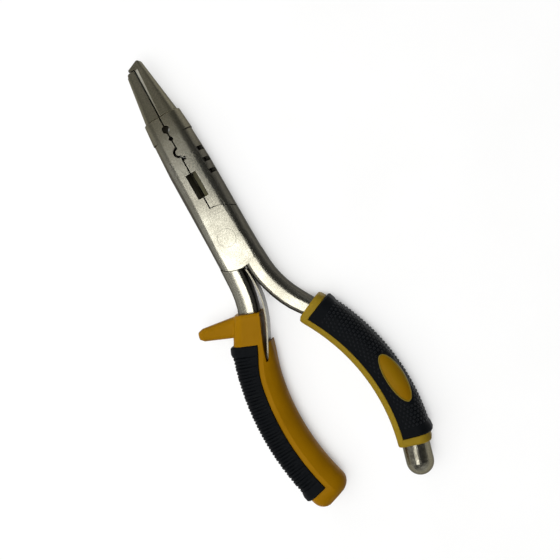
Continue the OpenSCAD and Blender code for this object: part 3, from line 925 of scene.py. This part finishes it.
class PLIERS_OT_levers(bpy.types.Operator):
    """Plates the two levers and the pivot rivet"""

    bl_idname = "pliers.levers"
    bl_label = "Levers and rivet"

    # Length along the right handle from which it is bare
    BARE_END = 114.6 * MM
    # Y from which the right jaw is bevelled, and the least lean of a bevel's normal
    BEVEL_FROM, BEVEL_LEAN = 55.5 * MM, 0.35
    # Side notches: range in Y, range in X, and the least part of a square wall's normal
    NOTCHES = (25.7 * MM, 38.3 * MM)
    NOTCH_IN, NOTCH_OUT = 6.0 * MM, 8.2 * MM
    SQUARE = 0.9
    # Cutter's recess: range in Y, reach in X, range in Z, and the least rise of a slope's normal
    RECESS = (18.8 * MM, 29.8 * MM)
    RECESS_SIDE, RECESS_FLOOR, RECESS_TOP = 2.4 * MM, MID_Z + 2.5 * MM, MID_Z + 5.2 * MM
    SLOPE = 0.2

    def is_end(self, at, out):
        """True on the bare end of the right handle."""
        return at.x > 0 and at.y < 0 and RIGHT_BOW.locate(at)[0] > self.BARE_END

    def is_bevel(self, at, out):
        """True on the ground bevel along the inner edge of the right jaw."""
        if at.x <= 0 or at.y <= self.BEVEL_FROM:
            return False
        return out.x < -self.BEVEL_LEAN and out.z > self.BEVEL_LEAN

    def is_notch(self, at, out):
        """True on the inner wall and the ledge of a side notch."""
        if at.x < self.NOTCH_IN or not self.NOTCHES[0] < at.y < self.NOTCHES[1]:
            return False
        wall = out.x > self.SQUARE and at.x < self.NOTCH_OUT
        return wall or (out.z > self.SQUARE and at.z < MID_Z + WELD)

    def is_recess(self, at, out):
        """True on the slopes of the cutter's recess."""
        if abs(at.x) > self.RECESS_SIDE or not self.RECESS[0] < at.y < self.RECESS[1]:
            return False
        return out.z > self.SLOPE and self.RECESS_FLOOR < at.z < self.RECESS_TOP

    def execute(self, context):
        steel = context.scene.pliers_steel
        plate = lever_plate()
        # The front lever's slope of the recess is painted dark as shade
        shaded_slope = (self.is_recess, shaded_slope_steel())
        milled = (self.is_recess, milled_steel())
        bare_end = (self.is_end, end_plate())
        bevel = (self.is_bevel, ground_steel())
        # The notch walls are painted dark as shade
        notch = (self.is_notch, notch_shade_steel())
        for node, body, picks in (
            ("front_lever", "front", (shaded_slope, bare_end)),
            ("rear_lever", "rear", (milled, bevel, notch)),
        ):
            bm = welded(node)
            for face in bm.faces:
                for number, (picked, _) in enumerate(picks, start=1):
                    if picked(face.calc_center_median(), face.normal):
                        face.material_index = number
            finishes = [plate] + [finish for _, finish in picks]
            piece = finished(bm, node + "_plated", finishes, steel.crease)
            seated(piece, body, "lever_steel", node)
        rivet = finished(welded("pivot_rivet"), "pivot_rivet_plated", [plate], steel.crease)
        seated(rivet, "rear", "lever_steel", "pivot_rivet")
        return {"FINISHED"}


class PLIERS_OT_spring(bpy.types.Operator):
    """Makes the leaf spring between the levers, and its rivet"""

    bl_idname = "pliers.spring"
    bl_label = "Leaf spring"

    # Where the blade starts to bend with the joint, and where it follows the front lever
    KNEE = (-5.2 * MM, -42.1 * MM, MID_Z)
    FREE_END = (0.2 * MM, -14.8 * MM, MID_Z)

    def execute(self, context):
        steel = context.scene.pliers_steel
        strip = rolled_spring_steel()
        spring = finished(welded("leaf_spring"), "leaf_spring_strip", [strip], steel.crease)
        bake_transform(spring)
        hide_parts("leaf_spring")
        rivet = finished(welded("spring_rivet"), "spring_rivet_head", [strip], steel.crease)
        seated(rivet, "rear", "spring_steel", "spring_rivet")
        return {"FINISHED"}


class PLIERS_OT_cores(bpy.types.Operator):
    """Moulds the two yellow grip cores"""

    bl_idname = "pliers.cores"
    bl_label = "Grip cores"

    def execute(self, context):
        grips = context.scene.pliers_grips
        left = moulded_plastic("moulded_yellow_abs", grips.yellow, grips.amber, roughness=0.4)
        right = moulded_plastic("moulded_olive_yellow_abs", grips.olive, grips.moss, roughness=0.4)
        for node, body, plastic in (
            ("left_grip_core", "rear", left),
            ("right_grip_core", "front", right),
        ):
            piece = finished(welded(node), node + "_moulding", [plastic], grips.crease)
            seated(piece, body, "core_plastic", node)
        return {"FINISHED"}


class PLIERS_OT_left_overlay(bpy.types.Operator):
    """Cuts the fine ribs into the left overlay"""

    bl_idname = "pliers.left_overlay"
    bl_label = "Ribbed overlay"

    # Grooves: range along the handle, and how far out they begin and are deepest
    FIRST, LAST = 48.6 * MM, 106.8 * MM
    SMOOTH, RIBBED = 0.6 * MM, 3.4 * MM

    def execute(self, context):
        grips = context.scene.pliers_grips
        bm = welded("left_grip_overlay")
        count = int((self.LAST - self.FIRST) / grips.rib_pitch)
        # A groove's banks take a third of the pitch on either side of its bottom
        bank = grips.rib_pitch / 3
        for i in range(count + 1):
            s = self.FIRST + i * grips.rib_pitch
            cut(bm, LEFT_BOW, s - bank)
            cut(bm, LEFT_BOW, s + bank)
            for vert in cut(bm, LEFT_BOW, s):
                _, n, z = LEFT_BOW.locate(vert.co)
                if LEFT_SECTION.depth(n, z)[0] < SKIN:
                    share = ease(n, self.SMOOTH, self.RIBBED)
                    sink(vert, LEFT_BOW, LEFT_SECTION, share * grips.rib_depth)
        piece = finished(bm, "left_overlay_ribbed", [overlay_rubber()], grips.crease)
        seated(piece, "rear", "overlay_rubber", "left_grip_overlay")
        return {"FINISHED"}


class PLIERS_OT_right_overlay(bpy.types.Operator):
    """Lowers the right overlay's skin and sets the field of pebbles in it"""

    bl_idname = "pliers.right_overlay"
    bl_label = "Pebbled overlay"

    # Field: range along the handle, ramps beyond it, and the bare border along its edges
    FIRST, LAST = 51.0 * MM, 106.6 * MM
    RAMP = 2.0 * MM
    BORDER = 2.2 * MM
    # Pebbles: depth of the root in the skin, depth of the crown under the solid's surface,
    # and radii of the foot and the crown
    ROOT = 0.25 * MM
    SUNK = 0.03 * MM
    FOOT, CROWN = 0.72 * MM, 0.38 * MM

    def skin_drop(self, s, n, height):
        """How far the skin lies under the solid's surface."""
        inside = ease(s, self.FIRST - 2 * self.RAMP, self.FIRST - self.RAMP)
        inside *= 1 - ease(s, self.LAST + self.RAMP, self.LAST + 2 * self.RAMP)
        edge = RIGHT_SECTION.corner - RIGHT_SECTION.flat
        return height * inside * ease(n, edge, edge + self.BORDER)

    def execute(self, context):
        grips = context.scene.pliers_grips
        height = grips.pebble_height
        bm = welded("right_grip_overlay")
        for vert in bm.verts:
            s, n, z = RIGHT_BOW.locate(vert.co)
            if RIGHT_SECTION.depth(n, z)[0] < SKIN:
                sink(vert, RIGHT_BOW, RIGHT_SECTION, self.skin_drop(s, n, height))
        skin = finished(bm, "right_overlay_skin", [overlay_rubber()], grips.crease)
        seated(skin, "front", "overlay_rubber", "right_grip_overlay")

        field = bmesh.new()
        row_gap = grips.pebble_pitch * math.sqrt(3) / 2
        rows = int((self.LAST - self.FIRST) / row_gap)
        span = RIGHT_SECTION.length - 2 * self.BORDER
        across = int(span / grips.pebble_pitch)
        for row in range(rows + 1):
            s = self.FIRST + (self.LAST - self.FIRST) * row / rows
            for i in range(across + 1 - row % 2):
                u = self.BORDER + span * (i + 0.5 * (row % 2)) / across
                (n, z), (out_n, out_z) = RIGHT_SECTION.at(u)
                top = RIGHT_BOW.point(s, n, z)
                if z > 0 and BADGE.covers(top, grips.pebble_pitch / 2):
                    continue
                out = out_n * RIGHT_BOW.outward(s) + Vector((0, 0, out_z))
                along = RIGHT_BOW.along(s)
                stand = Matrix((along, out.cross(along), out)).transposed().to_4x4()
                stand.translation = top - out * (self.SUNK + (height + self.ROOT) / 2)
                bmesh.ops.create_cone(
                    field,
                    cap_ends=True,
                    segments=grips.pebble_sides,
                    radius1=self.FOOT,
                    radius2=self.CROWN,
                    depth=height + self.ROOT,
                    matrix=stand,
                )
        # The pebbles take a lighter black than the skin, a painted highlight on their crowns
        rubber = moulded_rubber(
            "worn_thermoplastic_rubber", grips.bloom, grips.pebble_sheen, roughness=0.24, sheen=0.16
        )
        pebbles = finished(field, "right_overlay_pebbles", [rubber], NO_CREASE, even=False)
        seated(pebbles, "front", "overlay_rubber")
        return {"FINISHED"}


class PLIERS_OT_badge(bpy.types.Operator):
    """Makes the bare oval badge and its raised rim"""

    bl_idname = "pliers.badge"
    bl_label = "Oval badge"

    # Rim: depth of its root, steps round it, and the turn that stays crisp
    ROOT = 0.8 * MM
    STEPS = 72
    CREASE = math.radians(50)
    # Shares of the rim's width: where its crest lies, and how far its two edges drop
    CREST_FROM, CREST_TO = 0.25, 0.6
    OUTER_DROP, INNER_DROP = 0.15, 0.35

    def execute(self, context):
        grips = context.scene.pliers_grips
        bm = welded("grip_badge")
        for vert in bm.verts:
            _, n, z = RIGHT_BOW.locate(vert.co)
            if z > 0 and RIGHT_SECTION.depth(n, z)[0] < SKIN:
                vert.co.z -= grips.badge_dip
        plastic = moulded_plastic(
            "moulded_badge_abs", grips.badge_yellow, grips.amber, roughness=0.4
        )
        face = finished(bm, "badge_face", [plastic], grips.crease)
        seated(face, "front", "badge_plastic", "grip_badge")

        rim = bmesh.new()
        turn = Matrix((BADGE.outward, BADGE.along, Vector((0, 0, 1)))).transposed().to_4x4()
        turn.translation = BADGE.centre
        width = grips.badge_rim
        loops = []
        for inset, drop in (
            (0.0, self.ROOT),
            (0.0, self.OUTER_DROP * width),
            (self.CREST_FROM * width, 0.0),
            (self.CREST_TO * width, 0.0),
            (width, self.INNER_DROP * width),
            (width, self.ROOT),
        ):
            loop = bmesh.ops.create_circle(rim, segments=self.STEPS, radius=1.0)["verts"]
            size = Matrix.Diagonal((BADGE.WIDTH / 2 - inset, BADGE.LENGTH / 2 - inset, 1, 1))
            bmesh.ops.transform(rim, matrix=turn @ size, verts=loop)
            for vert in loop:
                vert.co.z = BADGE.surface(vert.co) - drop
            loops.append(loop)
        for one, other in zip(loops, loops[1:] + loops[:1]):
            ends = set(one + other)
            open_edges = [e for e in rim.edges if len(e.link_faces) < 2]
            bmesh.ops.bridge_loops(rim, edges=[e for e in open_edges if set(e.verts) <= ends])
        bmesh.ops.recalc_face_normals(rim, faces=rim.faces)
        bright = moulded_plastic(
            "polished_badge_abs", grips.rim_yellow, grips.moss, roughness=0.26
        )
        seated(finished(rim, "badge_rim", [bright], self.CREASE), "front", "badge_plastic")
        return {"FINISHED"}


# ---------------------------------------------------------------- stage


class PLIERS_OT_stage(bpy.types.Operator):
    """Sets the paper floor, the studio light and the camera"""

    bl_idname = "pliers.stage"
    bl_label = "Studio"

    # Point that the camera and the lamps look at
    TARGET = Vector((9.7 * MM, -25.5 * MM, MID_Z))

    # Floor: its reach from the middle, its cells, and its gap under the part, in metres
    FLOOR_REACH, FLOOR_CELLS, FLOOR_GAP = 8.0, 4, 0.05 * MM

    # Lamps: name, power setting, place from the target, width, height, roll in degrees, and
    # whether it is mirrored in gloss, which a fill lamp isn't
    LAMPS = (
        ("overhead_softbox", "overhead", (-0.184, -0.109, 0.7), 0.37, 0.3, -45, True),
        ("shoulder_softbox", "shoulder", (-0.47, 0.0, 0.7), 0.3, 0.6, 0, True),
        ("ceiling_fill", "ceiling", (-0.45, 0.0, 1.2), 1.8, 1.8, 0, False),
        ("far_softbox", "far", (0.0, 0.9, 0.6), 1.0, 0.6, 0, True),
        ("left_softbox", "left", (-0.95, 0.0, 0.5), 1.0, 0.5, 0, True),
    )

    # Room: its colour, the heights (Z of a direction) between which its pale walls end, and the
    # pale screens beyond both ends of the part (Y of a direction), with their brightness
    ROOM_TINT = "#F4F6F8"
    WALL, DARK = 0.2, 0.26
    SCREEN_FROM, SCREEN_TO, SCREEN = 0.45, 0.65, 0.7

    # Camera: scale at the target, width of the picture and the sensor, and turns in degrees
    PIXELS_PER_METRE = 2452
    PIXELS = 560
    SENSOR = 36
    TILT_SIDE, TILT_UP, ROLL = 10.377, 1.59, 29.322

    def lay_floor(self):
        """Lays the paper under the part."""
        bm = bmesh.new()
        cells = self.FLOOR_CELLS
        bmesh.ops.create_grid(bm, x_segments=cells, y_segments=cells, size=self.FLOOR_REACH)
        bmesh.ops.translate(bm, verts=bm.verts, vec=(0, 0, CAD_BOX[0].z - self.FLOOR_GAP))
        floor = finished(bm, "paper_floor", [matt_paper()], NO_CREASE, even=False)

    def hang_lamp(self, name, power, offset, width, height, roll, mirrored):
        """Hangs a rectangular softbox that faces the part."""
        light = bpy.data.lights.new(name, "AREA")
        light.shape = "RECTANGLE"
        light.size, light.size_y, light.energy = width, height, power
        lamp = bpy.data.objects.new(name, light)
        place = self.TARGET + Vector(offset)
        aim = (self.TARGET - place).to_track_quat("-Z", "Y").to_matrix().to_4x4()
        turn = Matrix.Rotation(math.radians(roll), 4, "Z")
        lamp.matrix_world = Matrix.Translation(place) @ aim @ turn
        lamp.visible_glossy = mirrored
        bpy.context.scene.collection.objects.link(lamp)

    def paint_room(self, world, dim):
        """Paints a dim room, whose pale walls and screens only the camera and mirrors see."""
        world.use_nodes = True
        tree = world.node_tree
        tree.nodes.clear()
        generated = add(tree, COORDINATES).outputs["Generated"]
        way = add(tree, SPLIT, {0: generated}).outputs
        wall = add(
            tree,
            RANGE,
            {
                "Value": way["Z"],
                "From Min": self.WALL,
                "From Max": self.DARK,
                "To Min": 1.0,
                "To Max": 0.0,
            },
        )
        ends = add(tree, MATH, {0: way["Y"]}, operation="ABSOLUTE")
        screen = add(
            tree,
            RANGE,
            {
                "Value": ends,
                "From Min": self.SCREEN_FROM,
                "From Max": self.SCREEN_TO,
                "To Max": self.SCREEN,
            },
        )
        pale = add(tree, MATH, {0: wall, 1: screen}, operation="MAXIMUM")
        share = add(tree, MATH, {0: plainly_seen(tree), 1: pale}, operation="MULTIPLY")
        level = add(tree, RANGE, {"Value": share, "To Min": dim, "To Max": 1.0})
        room = add(
            tree, "ShaderNodeBackground", {"Color": linear(self.ROOM_TINT), "Strength": level}
        )
        add(tree, "ShaderNodeOutputWorld", {"Surface": room})

    def set_camera(self, scene, distance):
        """Sets a camera that sees the part as the photograph does."""
        optics = bpy.data.cameras.new("photo_camera")
        optics.sensor_width = self.SENSOR
        optics.lens = self.SENSOR * self.PIXELS_PER_METRE * distance / self.PIXELS
        camera = bpy.data.objects.new("photo_camera", optics)
        scene.collection.objects.link(camera)
        seen = Matrix.Rotation(math.radians(self.ROLL), 4, "Z")
        seen = seen @ Matrix.Rotation(math.radians(self.TILT_UP), 4, "X")
        seen = seen @ Matrix.Rotation(math.radians(-self.TILT_SIDE), 4, "Y")
        back = Matrix.Translation((0, 0, distance))
        camera.matrix_world = Matrix.Translation(self.TARGET) @ seen.inverted() @ back
        scene.camera = camera

    def execute(self, context):
        scene = context.scene
        stage = scene.pliers_stage
        self.lay_floor()
        for name, power, *rest in self.LAMPS:
            self.hang_lamp(name, getattr(stage, power), *rest)
        scene.world = scene.world or bpy.data.worlds.new("studio_room")
        self.paint_room(scene.world, stage.room)
        self.set_camera(scene, stage.distance)
        scene.view_settings.view_transform = "Standard"
        return {"FINISHED"}


PIECES = (
    PLIERS_OT_levers,
    PLIERS_OT_spring,
    PLIERS_OT_cores,
    PLIERS_OT_left_overlay,
    PLIERS_OT_right_overlay,
    PLIERS_OT_badge,
    PLIERS_OT_stage,
)


class PLIERS_PT_panel(bpy.types.Panel):
    """Lists the pieces and their sizes"""

    bl_label = "Fishing pliers"
    bl_idname = "PLIERS_PT_panel"
    bl_space_type = "VIEW_3D"
    bl_region_type = "UI"
    bl_category = "Pliers"

    def draw(self, context):
        for operator in PIECES:
            self.layout.operator(operator.bl_idname)
        for group in ("pliers_steel", "pliers_grips", "pliers_stage"):
            settings = getattr(context.scene, group)
            for name in settings.bl_rna.properties.keys():
                if name not in ("rna_type", "name"):
                    self.layout.prop(settings, name)


CLASSES = (PliersSteel, PliersGrips, PliersStage, *PIECES, PLIERS_PT_panel)


def register():
    for cls in CLASSES:
        bpy.utils.register_class(cls)
    bpy.types.Scene.pliers_steel = PointerProperty(type=PliersSteel)
    bpy.types.Scene.pliers_grips = PointerProperty(type=PliersGrips)
    bpy.types.Scene.pliers_stage = PointerProperty(type=PliersStage)


def unregister():
    del bpy.types.Scene.pliers_stage
    del bpy.types.Scene.pliers_grips
    del bpy.types.Scene.pliers_steel
    for cls in reversed(CLASSES):
        bpy.utils.unregister_class(cls)


def main():
    register()
    bpy.ops.pliers.levers()
    bpy.ops.pliers.spring()
    bpy.ops.pliers.cores()
    bpy.ops.pliers.left_overlay()
    bpy.ops.pliers.right_overlay()
    bpy.ops.pliers.badge()
    bpy.ops.pliers.stage()
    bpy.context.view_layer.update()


if __name__ == "__main__":
    main()
